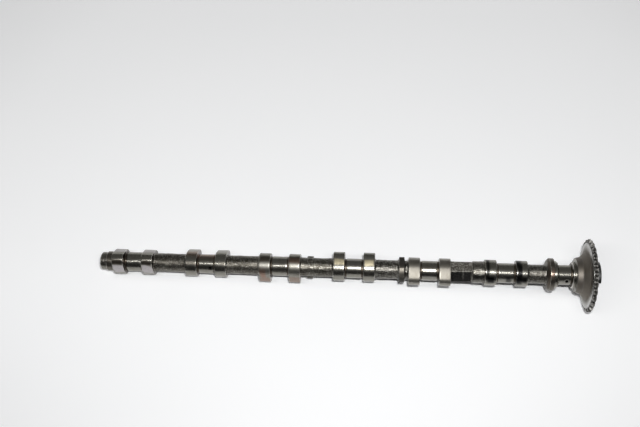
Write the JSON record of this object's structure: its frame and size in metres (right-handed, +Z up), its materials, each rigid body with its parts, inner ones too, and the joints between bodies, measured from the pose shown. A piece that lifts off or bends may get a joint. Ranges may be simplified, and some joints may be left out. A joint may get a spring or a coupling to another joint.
{
  "type": "camshaft",
  "caption": "Straight-six overhead camshaft: cast shaft with paired lobes and ground journals, thrust collars, spanner hexagon and a bolted chain sprocket with pulse plate.",
  "frame": {"origin": "on the shaft's axis, at the middle of the front journal", "axes": "+X along the shaft from the rear end to the sprocket, +Z up as it lies with two sprocket teeth on the table, +Y across"},
  "size_m": [0.6068, 0.0868, 0.0868],
  "materials": {
    "cast_shaft": "as cast between the lobes, ground and oily on lobes and journals",
    "sprocket_steel": "satin",
    "plate_steel": "satin, dark",
    "bolt_steel": "dark phosphate"
  },
  "bodies": {
    "root": {"camshaft": "cast_shaft", "sprocket": "sprocket_steel", "pulse_plate": "plate_steel", "sprocket_bolt": "bolt_steel"}
  },
  "joints": []
}
